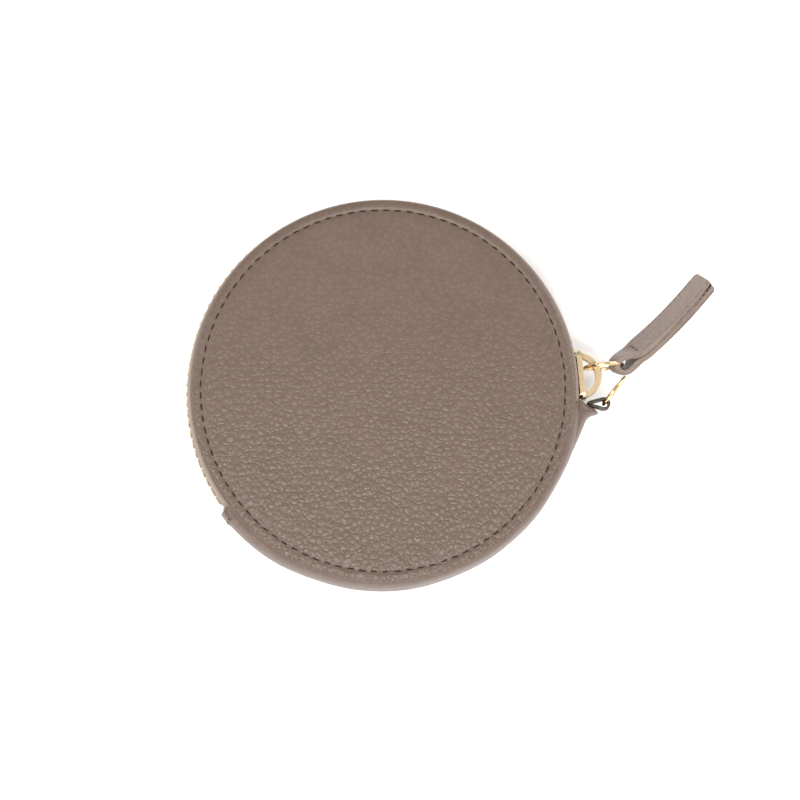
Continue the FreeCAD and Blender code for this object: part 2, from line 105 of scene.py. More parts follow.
class Graph:
    """Node tree of one material."""

    def __init__(self, name: str) -> None:
        """Start an empty material."""
        self.material = bpy.data.materials.new(name)
        self.material.use_nodes = True
        self.tree = self.material.node_tree
        self.tree.nodes.clear()

    def node(
        self,
        kind: str,
        settings: dict | None = None,
        inputs: dict | None = None,
        output: int | str = 0,
    ) -> Socket:
        """Create a node.

        Args:
            kind: the node's type.
            settings: properties set before its sockets.
            inputs: socket values or links, by name or number.
            output: the output to return.

        Returns:
            The chosen output.
        """
        made = self.tree.nodes.new(kind)
        for name, value in (settings or {}).items():
            setattr(made, name, value)
        for key, value in (inputs or {}).items():
            if isinstance(value, Socket):
                self.tree.links.new(value.out, made.inputs[key])
            else:
                made.inputs[key].default_value = value
        return Socket(self, made.outputs[output] if made.outputs else None)

    def place(self, size: float) -> Socket:
        """Object coordinates counted in units of size metres."""
        coords = self.node("ShaderNodeTexCoord", output="Object")
        scale = 1.0 / size
        return self.node(
            "ShaderNodeMapping", None, {"Vector": coords, "Scale": (scale, scale, scale)}
        )

    def noise(self, vector: Socket, scale: float, detail: float = 2.0) -> Socket:
        """Noise from 0 to 1 round 0.5."""
        values = {"Vector": vector, "Scale": scale, "Detail": detail, "Roughness": 0.55}
        return self.node("ShaderNodeTexNoise", None, values, "Fac")

    def step(self, value: Socket, low: float, high: float) -> Socket:
        """Smooth step from 0 at low to 1 at high."""
        settings = {"interpolation_type": "SMOOTHSTEP"}
        return self.node(
            "ShaderNodeMapRange",
            settings,
            {"Value": value, "From Min": low, "From Max": high},
        )

    def blend(self, amount: Socket, first: Colour, second: Colour) -> Socket:
        """Mix two colours."""
        settings = {"data_type": "RGBA"}
        values = {0: amount, 6: (*first, 1.0), 7: (*second, 1.0)}
        return self.node("ShaderNodeMix", settings, values, 2)

    def bump(self, height: Socket, depth: float, strength: float = 1.0) -> Socket:
        """Normal bent by a height from 0 to 1 times depth metres."""
        values = {"Height": height, "Distance": depth, "Strength": strength}
        return self.node("ShaderNodeBump", None, values)

    def surface(self, inputs: dict) -> bpy.types.Material:
        """Finish with a Principled surface and return the material."""
        shader = self.node("ShaderNodeBsdfPrincipled", None, inputs)
        self.node("ShaderNodeOutputMaterial", None, {"Surface": shader})
        return self.material


# ---------------------------------------------------------------- finishes
@dataclass(frozen=True)
class Leather:
    """Pebbled leather with creases between the pebbles."""

    name: str
    light: Colour = (0.104, 0.067, 0.048)
    dark: Colour = (0.070, 0.043, 0.030)
    pebble: float = 1.5 * MM
    depth: float = 0.26 * MM
    roughness: float = 0.44
    lean: float = 0.82

    def build(self) -> bpy.types.Material:
        """Make the material."""
        graph = Graph(self.name)
        mm = graph.place(MM)
        wander = graph.node(
            "ShaderNodeTexNoise", None, {"Vector": mm, "Scale": 0.5, "Detail": 2.0}, "Color"
        )
        bent = graph.node(
            "ShaderNodeVectorMath",
            {"operation": "MULTIPLY_ADD"},
            {0: wander, 1: (1.5, 1.5, 1.5), 2: mm},
        )
        pebbles = self.cells(graph, bent, MM / self.pebble, 0.24)
        small = self.cells(graph, bent, 1.9 * MM / self.pebble, 0.28)
        fine = graph.noise(mm, 9.0, 3.0)
        patches = graph.noise(mm, 0.09, 2.0)
        parts = graph.node("ShaderNodeSeparateXYZ", None, {"Vector": mm}, "Y")
        low = graph.step(parts * -1.0, -42.0, 46.0)
        full = low * self.lean + (1.0 - self.lean)
        height = (pebbles * 0.72 + small * 0.30 * patches + fine * 0.07) * full
        # Painted shade: the colour goes darker in the creases between pebbles. The patches term adds
        # the leather's own random tone.
        crease_shade_and_tone = pebbles * 0.45 + patches * 0.45 + 0.12
        colour = graph.blend(crease_shade_and_tone, self.dark, self.light)
        rough = patches * 0.10 + fine * 0.10 + (self.roughness - 0.06) - low * self.lean * 0.09
        return graph.surface(
            {
                "Base Color": colour,
                "Roughness": rough,
                "Normal": graph.bump(height, self.depth),
                "IOR": 1.46,
            }
        )

    @staticmethod
    def cells(graph: Graph, vector: Socket, scale: float, edge: float) -> Socket:
        """Rounded cells, 0 in the creases and 1 on top."""
        values = {"Vector": vector, "Scale": scale, "Randomness": 0.85}
        border = {"feature": "DISTANCE_TO_EDGE", "voronoi_dimensions": "3D"}
        away = graph.node("ShaderNodeTexVoronoi", border, values, "Distance")
        middle = {"feature": "F1", "voronoi_dimensions": "3D"}
        near = graph.node("ShaderNodeTexVoronoi", middle, values, "Distance")
        return graph.step(away, 0.0, edge) * 0.35 + (1.0 - graph.step(near, 0.05, 0.85)) * 0.65


@dataclass(frozen=True)
class Cloth:
    """Woven cloth with a twill line round the purse's axis or across it."""

    name: str
    light: Colour
    dark: Colour
    pitch: float = 0.55 * MM
    depth: float = 0.07 * MM
    round_axis: bool = False

    def build(self) -> bpy.types.Material:
        """Make the material."""
        graph = Graph(self.name)
        mm = graph.place(self.pitch)
        parts = [
            graph.node("ShaderNodeSeparateXYZ", None, {"Vector": mm}, axis) for axis in "XYZ"
        ]
        across, along = parts[0], parts[1]
        if self.round_axis:
            across = parts[1].maths("ARCTAN2", parts[0]) * (50.7 * MM / self.pitch)
            along = parts[2]
        over = (across * math.tau).maths("SINE")
        under = (along * math.tau + across * math.pi).maths("SINE")
        weave = (over * under) * 0.35 + under * 0.15 + 0.5
        fuzz = graph.noise(mm, 2.3, 3.0)
        shade = weave * 0.75 + fuzz * 0.3
        return graph.surface(
            {
                "Base Color": graph.blend(shade, self.dark, self.light),
                "Roughness": fuzz * 0.12 + 0.78,
                "Normal": graph.bump(weave + fuzz * 0.3, self.depth),
                "Sheen Weight": 0.15,
                "Sheen Roughness": 0.5,
            }
        )


@dataclass(frozen=True)
class Thread:
    """Twisted sewing thread."""

    name: str
    light: Colour = (0.030, 0.014, 0.008)
    dark: Colour = (0.011, 0.005, 0.003)

    def build(self) -> bpy.types.Material:
        """Make the material."""
        graph = Graph(self.name)
        mm = graph.place(MM)
        fuzz = graph.noise(mm, 6.0, 3.0)
        twist = graph.node(
            "ShaderNodeTexWave",
            {"wave_type": "BANDS", "bands_direction": "DIAGONAL"},
            {"Vector": mm, "Scale": 1.6, "Distortion": 1.5},
            "Fac",
        )
        return graph.surface(
            {
                "Base Color": graph.blend(twist * 0.6 + fuzz * 0.5, self.dark, self.light),
                "Roughness": fuzz * 0.2 + 0.6,
                "Normal": graph.bump(twist + fuzz * 0.4, 0.06 * MM),
                "Specular IOR Level": 0.12,
            }
        )


@dataclass(frozen=True)
class Gold:
    """Pale gold plating, polished or brushed."""

    name: str
    colour: Colour = (0.74, 0.57, 0.33)
    deep: Colour = (0.60, 0.43, 0.22)
    roughness: float = 0.13
    brush: float = 0.0

    def build(self) -> bpy.types.Material:
        """Make the material."""
        graph = Graph(self.name)
        mm = graph.place(MM)
        streaks = graph.node(
            "ShaderNodeMapping", None, {"Vector": mm, "Scale": (14.0, 1.2, 14.0)}
        )
        lines = graph.noise(streaks, 1.0, 4.0)
        cloudy = graph.noise(mm, 0.8, 3.0)
        scratches = graph.noise(mm, 12.0, 4.0)
        rough = lines * (0.10 + self.brush * 0.3) + cloudy * 0.08 + (self.roughness - 0.06)
        height = lines * self.brush + scratches * 0.15
        return graph.surface(
            {
                "Base Color": graph.blend(cloudy * 0.8 + lines * 0.2, self.deep, self.colour),
                "Metallic": 1.0,
                "Roughness": rough,
                "Normal": graph.bump(height, 0.02 * MM),
            }
        )


@dataclass(frozen=True)
class Paper:
    """Seamless paper under the purse."""

    name: str
    shade: float = 0.98

    def build(self) -> bpy.types.Material:
        """Make the material."""
        graph = Graph(self.name)
        grain = graph.noise(graph.place(4.0 * MM), 1.0, 3.0)
        low = (self.shade - 0.01,) * 3
        high = (self.shade + 0.01,) * 3
        return graph.surface(
            {
                "Base Color": graph.blend(grain, low, high),
                "Roughness": grain * 0.1 + 0.8,
                "Normal": graph.bump(grain, 0.02 * MM, 0.3),
            }
        )


class Finish(Enum):
    """Every finish on the purse."""

    PANEL = Leather("panel_leather")
    GUSSET = Leather("gusset_leather", pebble=2.1 * MM, depth=0.08 * MM, lean=0.2)
    STRAP = Leather(
        "strap_leather",
        (0.200, 0.154, 0.128),
        (0.140, 0.104, 0.085),
        pebble=1.3 * MM,
        depth=0.14 * MM,
        lean=0.0,
    )
    EDGE = Leather(
        "loop_leather",
        (0.046, 0.030, 0.021),
        (0.028, 0.018, 0.013),
        pebble=1.0 * MM,
        depth=0.05 * MM,
        lean=0.0,
    )
    LINING = Cloth("lining_cloth", (0.20, 0.145, 0.115), (0.10, 0.070, 0.055))
    TAPE = Cloth("zip_tape", (0.22, 0.16, 0.125), (0.11, 0.078, 0.06), 0.62 * MM, round_axis=True)
    THREAD = Thread("dark_thread")
    FINE_THREAD = Thread("tonal_thread", (0.21, 0.15, 0.115), (0.13, 0.09, 0.07))
    POLISHED = Gold("polished_gold")
    BRUSHED = Gold("brushed_gold", (0.62, 0.49, 0.31), (0.50, 0.38, 0.22), 0.24, 0.8)
    TEETH = Gold("teeth_gold", (0.52, 0.41, 0.26), (0.36, 0.27, 0.16), roughness=0.24)
    PAPER = Paper("studio_paper")

    def material(self) -> bpy.types.Material:
        """The finish's material, made on first use."""
        found = bpy.data.materials.get(self.value.name + "_finish")
        if found is None:
            found = self.value.build()
            found.name = self.value.name + "_finish"
        return found


# ---------------------------------------------------------------- geometry
@dataclass(frozen=True)
class Sizes:
    """Sizes that the soft pieces share, in millimetres and degrees."""

    radius: float = 50.0
    depth: float = 22.0
    stitch_radius: float = 47.22
    stitches: int = 97
    chain: float = 50.7
    zip_middle: float = 107.0
    zip_half: float = 110.25
    gusset: float = 51.0
    bend_length: float = 30.0

    @property
    def middle(self) -> float:
        """Height of the middle of the chain."""
        return self.depth / 2


SIZES = Sizes()


def polar(radius: float, degrees: float, height: float) -> Vector:
    """Point at a radius, an angle and a height in millimetres, as metres."""
    angle = math.radians(degrees)
    return Vector((radius * math.cos(angle), radius * math.sin(angle), height)) * MM


def ease(value: float, low: float, high: float) -> float:
    """Smooth step of a number."""
    part = min(max((value - low) / (high - low), 0.0), 1.0)
    return part * part * (3 - 2 * part)


def smooth_line(points: Sequence[Point], steps: int = 4) -> list[Point]:
    """Curve through the points.

    Args:
        points: places the curve passes.
        steps: parts of the curve between two places.

    Returns:
        The curve's points, ends included.
    """
    ends = [points[0], *points, points[-1]]
    line: list[Point] = []
    for a, b, c, d in zip(ends, ends[1:], ends[2:], ends[3:]):
        for number in range(steps):
            t = number / steps
            line.append(
                tuple(
                    0.5
                    * (
                        2 * q
                        + (r - p) * t
                        + (2 * p - 5 * q + 4 * r - s) * t * t
                        + (3 * q - p - 3 * r + s) * t**3
                    )
                    for p, q, r, s in zip(a, b, c, d)
                )
            )
    return [*line, tuple(points[-1])]


END_SHARE = 0.72


def thicken(line: Sequence[Point], thickness: float) -> list[Point]:
    """Closed outline of a strip that follows an open line.

    Args:
        line: middle of the strip.
        thickness: thickness of the strip.

    Returns:
        The outline, down one side and back up the other.
    """
    sides: tuple[list[Point], list[Point]] = ([], [])
    last = len(line) - 1
    for number, (x, y) in enumerate(line):
        ahead, behind = line[min(number + 1, last)], line[max(number - 1, 0)]
        run = Vector((ahead[0] - behind[0], ahead[1] - behind[1])).normalized()
        half = thickness / 2
        if number in (0, last):
            half *= END_SHARE
        for side, way in zip(sides, (1, -1)):
            side.append((x - run.y * half * way, y + run.x * half * way))
    return sides[0] + sides[1][::-1]


class Piece:
    """One mesh object of the visual model while it is being built."""

    TURN_STEPS = 144
    WELD = 1e-6

    def __init__(self, name: str) -> None:
        """Start an empty mesh."""
        self.name = name
        self.mesh = bmesh.new()

    def loft(self, rings: Sequence[Sequence[Vector]]) -> "Piece":
        """Skin closed outlines one after another and close both ends.

        Args:
            rings: outlines with the same number of points.

        Returns:
            The piece itself.
        """
        rows = [[self.mesh.verts.new(point) for point in ring] for ring in rings]
        count = len(rows[0])
        for near, far in zip(rows, rows[1:]):
            for here in range(count):
                after = (here + 1) % count
                self.mesh.faces.new((near[here], near[after], far[after], far[here]))
        self.mesh.faces.new(rows[0])
        self.mesh.faces.new(rows[-1][::-1])
        return self

    def turned(self, outline: Sequence[Point]) -> "Piece":
        """Turn an open outline of radius and height round the Z axis."""
        verts = [self.mesh.verts.new(Vector((x, 0.0, z)) * MM) for x, z in outline]
        edges = [self.mesh.edges.new(pair) for pair in zip(verts, verts[1:])]
        bmesh.ops.spin(
            self.mesh,
            geom=verts + edges,
            cent=(0, 0, 0),
            axis=(0, 0, 1),
            angle=math.tau,
            steps=self.TURN_STEPS,
            use_merge=True,
        )
        bmesh.ops.remove_doubles(self.mesh, verts=self.mesh.verts, dist=self.WELD)
        return self

    def bead(self, place: Matrix, size: Vector) -> "Piece":
        """Add one stitch, a long rounded bead.

        Args:
            place: where it lies, its length along X.
            size: half its length, width and height in metres.

        Returns:
            The piece itself.
        """
        shape = place @ Matrix.Diagonal((*size, 1.0))
        bmesh.ops.create_uvsphere(
            self.mesh, u_segments=10, v_segments=8, radius=1.0, matrix=shape
        )
        return self

    def build(self, finish: Finish, smooth: bool = True) -> bpy.types.Object:
        """Make the object.

        Args:
            finish: the finish of its surface.
            smooth: shade it smooth.

        Returns:
            The object, linked to the scene.
        """
        bmesh.ops.recalc_face_normals(self.mesh, faces=self.mesh.faces)
        for face in self.mesh.faces:
            face.smooth = smooth
        data = bpy.data.meshes.new(self.name)
        self.mesh.to_mesh(data)
        self.mesh.free()
        data.materials.append(finish.material())
        made = bpy.data.objects.new(self.name, data)
        bpy.context.scene.collection.objects.link(made)
        return made


@dataclass
class Lift:
    """Where the front lifts: the joint's pivot and the line across it, between the fixed part and the
    part that lifts.
    """

    pivot: Vector
    across: Vector

    @classmethod
    def from_record(cls, record: dict) -> "Lift":
        """Read the joint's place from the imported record."""
        joints = record["behaviour"]["joints"]
        joint = next(j for j in joints if j["name"] == "front_lift")
        axis = Vector(joint["axis"])
        return cls(Vector(joint["pos_m"]), Vector((0, 0, 1)).cross(axis))

    def bend(self, piece: bpy.types.Object) -> None:
        """Bake a piece's place into its mesh."""
        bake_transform(piece)


# ---------------------------------------------------------------- panels
def wobble(number: int, amount: float) -> float:
    """Small steady irregularity of the numbered stitch."""
    return amount * math.sin(number * 12.9898 + 78.233 * math.sin(number * 0.7))


@dataclass
class Panel:
    """Round leather panel with its board, lining and seam."""

    CROWN = 0.00004
    SEAM_LEVEL = 21.74
    STITCH = Vector((0.98, 0.17, 0.17)) * MM

    side: str
    lift: Lift | None = None

    def level(self, height: float) -> float:
        """Height of a place on this panel, given for the front one."""
        return height if self.side == "front" else SIZES.depth - height

    def outline(self, points: Sequence[Point]) -> list[Point]:
        """Outline with its heights set for this side."""
        return [(x, self.level(z)) for x, z in points]

    def leather(self) -> bpy.types.Object:
        """Leather disc, rounded at the rim and pressed in along the seam."""
        spots = [number * 2.75 for number in range(17)]
        top = [(x, SIZES.depth - self.CROWN * x**2) for x in spots]
        rim = [
            (46.3, 21.90),
            (46.85, 21.80),
            (47.22, 21.55),
            (47.6, 21.80),
            (48.3, 21.86),
            (49.1, 21.80),
            (49.7, 21.56),
            (49.98, 21.2),
            (49.9, 20.84),
            (49.6, 20.62),
            (49.0, 20.5),
        ]
        under = [(47.0 - number * 4.7, 20.48) for number in range(11)]
        shape = self.outline(top + rim + under)
        return Piece(f"{self.side}_leather").turned(shape).build(Finish.PANEL)

    def lining(self) -> bpy.types.Object:
        """Lining cloth turned over the edge of the board."""
        inner = [(number * 2.6, 19.52) for number in range(17)]
        edge = [(43.6, 19.56), (44.4, 19.7), (44.75, 20.0), (44.7, 20.3), (44.2, 20.45)]
        under = [(41.6 - number * 5.2, 20.46) for number in range(9)]
        shape = self.outline(inner + edge + under)
        return Piece(f"{self.side}_lining").turned(shape).build(Finish.LINING)

    def seam(self) -> bpy.types.Object:
        """Ring of stitches close inside the rim."""
        seam = Piece(f"{self.side}_stitches")
        for number in range(SIZES.stitches):
            angle = 360 * number / SIZES.stitches
            spot = polar(SIZES.stitch_radius + wobble(number, 0.05), angle, self.level(self.SEAM_LEVEL))
            turn = math.radians(angle + 90 + wobble(number + 50, 4.0))
            place = Matrix.Translation(spot) @ Matrix.Rotation(turn, 4, "Z")
            seam.bead(place, self.STITCH)
        return seam.build(Finish.THREAD)

    def build(self) -> None:
        """Make the panel's pieces; tie the back's to the shell and bake the front's in place."""
        leather, lining, seam = self.leather(), self.lining(), self.seam()
        for piece in (leather, lining, seam):
            if self.lift:
                self.lift.bend(piece)
            else:
                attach(piece, "shell")
        if self.lift:
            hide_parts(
                "front_panel_base",
                "front_panel_flap",
                "front_fold_band",
                "front_board_base",
                "front_board_flap",
            )
            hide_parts("front_lining_base", "front_lining_flap")
        else:
            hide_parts("back_panel", "back_board")
            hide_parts("back_lining")


# ---------------------------------------------------------------- rim
def rim_strip(
    name: str,
    line: Callable[[float], Sequence[Point]],
    thickness: float,
    first: float,
    last: float,
    finish: Finish,
    step: float = 2.0,
) -> bpy.types.Object:
    """Strip bent round the rim.

    Args:
        name: the piece's name.
        line: the strip's middle line, in radius and height, at an angle.
        thickness: the strip's thickness.
        first: the angle at which it starts.
        last: the angle at which it ends.
        finish: its finish.
        step: angle between two sections.

    Returns:
        The object.
    """
    count = max(2, round((last - first) / step))
    rings = []
    for number in range(count + 1):
        angle = first + (last - first) * number / count
        outline = thicken(line(angle), thickness)
        rings.append([polar(x, angle, z) for x, z in outline])
    return Piece(name).loft(rings).build(finish)


@dataclass
class Zip:
    """Both tapes and both rows of teeth."""

    lift: Lift

    TAPE_THICKNESS = 0.56
    TOOTH_ROUNDING = 0.11 * MM
    TUCK = 0.5 * MM
    TUCK_STARTS = (11, 18)
    TUCK_ENDS = (105, 140)
    TAPE = (
        (SIZES.chain, 12.7),
        (SIZES.chain, 14.4),
        (SIZES.chain, 16.2),
        (50.45, 17.8),
        (49.9, 19.1),
        (48.9, 19.95),
        (47.2, 20.16),
        (45.0, 20.18),
    )

    def tape(self, side: str) -> bpy.types.Object:
        """One tape, from the chain to its seam under a panel."""
        front = side == "front"
        line = smooth_line([(x, z if front else SIZES.depth - z) for x, z in self.TAPE], 3)
        first = SIZES.zip_middle - SIZES.zip_half
        last = SIZES.zip_middle + SIZES.zip_half
        return rim_strip(
            f"{side}_tape", lambda _: line, self.TAPE_THICKNESS, first, last, Finish.TAPE
        )

    def tucked(self, spot: Vector) -> Vector:
        """Place on a tooth, drawn in where the front's rim covers the chain."""
        angle = math.degrees(math.atan2(spot.y, spot.x)) % 360
        tuck = self.TUCK * ease(angle, *self.TUCK_STARTS) * (1 - ease(angle, *self.TUCK_ENDS))
        share = 1 - tuck / math.hypot(spot.x, spot.y)
        return Vector((spot.x * share, spot.y * share, spot.z))

    def teeth(self, name: str, nodes: Sequence[str]) -> bpy.types.Object:
        """Row of teeth with softened edges, taken from the frame's own."""
        row = Piece(name)
        for node in nodes:
            row.mesh.from_mesh(frame["nodes"][node].data)
        bmesh.ops.remove_doubles(row.mesh, verts=row.mesh.verts, dist=Piece.WELD)
        for corner in row.mesh.verts:
            corner.co = self.tucked(corner.co)
        bmesh.ops.dissolve_limit(
            row.mesh,
            angle_limit=math.radians(1),
            verts=row.mesh.verts,
            edges=row.mesh.edges,
        )
        sharp = [e for e in row.mesh.edges if e.calc_face_angle(0.0) > math.radians(25)]
        bmesh.ops.bevel(
            row.mesh,
            geom=sharp,
            offset=self.TOOTH_ROUNDING,
            segments=2,
            profile=0.5,
            affect="EDGES",
            material=-1,
            clamp_overlap=True,
        )
        return row.build(Finish.TEETH, smooth=False)

    def build(self) -> None:
        """Make the zip's pieces; tie the back's to the shell and bake the front's in place."""
        front_tape, back_tape = self.tape("front"), self.tape("back")
        front_row = self.teeth("front_row_of_teeth", ["front_teeth", "front_teeth_ends"])
        back_row = self.teeth("back_row_of_teeth", ["back_teeth"])
        self.lift.bend(front_tape)
        self.lift.bend(front_row)
        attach(back_tape, "shell")
        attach(back_row, "shell")
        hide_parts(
            "front_zip_tape",
            "front_tape_right",
            "front_tape_left",
            "tape_fold_right",
            "tape_fold_left",
        )
        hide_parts("back_zip_tape")
        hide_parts("front_teeth", "front_teeth_ends")
        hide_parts("back_teeth")


@dataclass
class Gusset:
    """Bulged leather strip round the bottom, with its lining and end patches."""

    first: float = SIZES.zip_middle + SIZES.zip_half
    last: float = SIZES.zip_middle - SIZES.zip_half + 360
    thickness: float = 1.0
    cloth_thickness: float = 0.4
    cloth_inset: float = 0.78
    cloth_seam: float = 45.6
    patch_thickness: float = 0.4
    patch_before: float = 0.3
    patch_after: float = 3.4
    patch_seam: float = 2.6
    patch_step: float = 1.0

    @staticmethod
    def bulge(angle: float) -> float:
        """How far the middle stands out beyond its usual radius."""
        left = 1.15 * (1 - ease(angle, 226, 262))
        low = -0.35 * ease(angle, 268, 288) * (1 - ease(angle, 326, 346))
        right = 0.55 * ease(angle, 328, 352)
        turn = math.radians(angle)
        ripple = 0.10 * math.sin(turn * 7) + 0.06 * math.sin(turn * 17)
        return left + low + right + ripple

    def line(self, angle: float, inset: float = 0.0, seam: float = 45.0) -> list[Point]:
        """Middle line of the strip at an angle, moved inward by inset."""
        out = self.bulge(angle)
        half = [
            (seam, 19.95 - inset),
            (47.6, 19.95 - inset),
            (49.1 - inset * 0.7, 19.7 - inset),
            (50.1 + out * 0.3 - inset, 18.5 - inset * 0.6),
            (50.75 + out * 0.75 - inset, 15.6),
            (50.9 + out - inset, 11.0),
        ]
        lower = [(x, SIZES.depth - z) for x, z in half[-2::-1]]
        return smooth_line(half + lower, 3)

    def patch_line(self, angle: float) -> list[Point]:
        """Middle line of the patch over the gusset's left end."""
        surface = self.line(angle, -0.45)
        return [(x, z) for x, z in surface if 4.0 < z < 18.0 and x > 50.0]

    def build(self) -> None:
        """Make the strip, its lining and the left patch."""
        strip = rim_strip(
            "gusset_leather", self.line, self.thickness, self.first, self.last, Finish.GUSSET
        )
        inside = rim_strip(
            "gusset_cloth",
            lambda angle: self.line(angle, self.cloth_inset, self.cloth_seam),
            self.cloth_thickness,
            self.first,
            self.last,
            Finish.LINING,
        )
        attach(strip, "shell")
        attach(inside, "shell")
        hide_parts("lower_gusset")
        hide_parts("gusset_lining")
        patch = rim_strip(
            "left_end_patch",
            self.patch_line,
            self.patch_thickness,
            self.first - self.patch_before,
            self.first + self.patch_after,
            Finish.GUSSET,
            self.patch_step,
        )
        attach(patch, "shell")
        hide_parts("left_end_tab")
        self.patch_stitches()

    def patch_stitches(self) -> None:
        """Row of stitches across the left patch."""
        angle = self.first + self.patch_seam
        row = Piece("left_patch_stitches")
        surface = self.line(angle, -0.68)
        spots = [(x, z) for x, z in surface if 5.0 < z < 17.0]
        for x, z in spots[::2]:
            place = Matrix.Translation(polar(x, angle, z))
            place = place @ Matrix.Rotation(math.radians(angle), 4, "Z")
            place = place @ Matrix.Rotation(math.radians(90), 4, "Y")
            row.bead(place, Vector((0.62, 0.26, 0.16)) * MM)
        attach(row.build(Finish.THREAD), "shell")


@dataclass
class RightEnd:
    """Pinched leather at the closed end of the zip and the loop of the side ring."""

    angle: float = -5.0
    loop_thickness: float = 0.72

    BEAK = (
        (2.7, 0.35),
        (2.4, 1.4),
        (2.0, 2.2),
        (1.4, 3.5),
        (0.8, 4.9),
        (0.2, 5.8),
        (-0.3, 5.3),
        (-0.8, 3.9),
        (-2.0, 2.7),
        (-4.3, 2.05),
        (-7.0, 1.45),
        (-10.0, 0.9),
        (-12.5, 0.4),
    )
    LOOP = (
        (2.5, 2.35),
        (4.4, 3.15),
        (6.72, 3.90),
        (7.72, 3.55),
        (8.12, 2.6),
        (7.72, 1.65),
        (6.72, 1.30),
        (5.2, 1.62),
        (3.8, 1.80),
        (2.3, 2.0),
    )

    def spot(self, out: float, up: float, height: float) -> Vector:
        """Point beside the rim, out from the gusset and up along it."""
        turn = Matrix.Rotation(math.radians(self.angle), 4, "Z")
        return turn @ (Vector((SIZES.gusset + out, up, height)) * MM)

    def beak(self) -> bpy.types.Object:
        """Leather pinched to a beak that covers the zip's end."""
        rings = []
        outline = smooth_line(self.BEAK, 2)
        for level in (-5.6, -5.3, -4.6, -3.2, -1.6, 0.0, 1.6, 3.2, 4.6, 5.3, 5.6):
            share = math.sqrt(max(0.02, 1 - (level / 5.7) ** 2))
            rise = SIZES.middle + level
            bend = [math.sqrt(SIZES.gusset**2 - up**2) - SIZES.gusset for up, _ in outline]
            outer = [
                self.spot(out * share * 0.97 + sag, up, rise)
                for (up, out), sag in zip(outline, bend)
            ]
            inner = [self.spot(sag - 0.7, up, rise) for (up, _), sag in zip(outline, bend)]
            rings.append(outer + inner[::-1])
        return Piece("right_end_beak").loft(rings).build(Finish.GUSSET)

    def loop(self) -> bpy.types.Object:
        """Thin leather loop round the side ring's wire."""
        rings = []
        line = smooth_line(self.LOOP, 4)
        for rise, share in ((9.0, 0.6), (9.12, 1.0), (11.0, 1.0), (12.88, 1.0), (13.0, 0.6)):
            outline = thicken(line, self.loop_thickness * share)
            rings.append([self.spot(x, y, rise) for x, y in outline])
        return Piece("side_ring_loop").loft(rings).build(Finish.EDGE)

    def stitches(self) -> bpy.types.Object:
        """Short stitches that close the beak."""
        row = Piece("beak_stitches")
        for out, rise in ((0.2, 16.5), (1.3, 16.1), (2.4, 15.4), (3.4, 14.4)):
            place = Matrix.Translation(self.spot(out, -0.35, rise))
            place = place @ Matrix.Rotation(math.radians(self.angle), 4, "Z")
            place = place @ Matrix.Rotation(math.radians(12 + 9 * out), 4, "Y")
            row.bead(place, Vector((0.42, 0.16, 0.12)) * MM)
        return row.build(Finish.THREAD)

    def build(self) -> None:
        """Make the pieces and tie them to the frame."""
        beak, loop, stitches = self.beak(), self.loop(), self.stitches()
        for piece in (beak, loop, stitches):
            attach(piece, "shell")
        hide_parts("right_end_tab")
        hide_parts("side_loop")


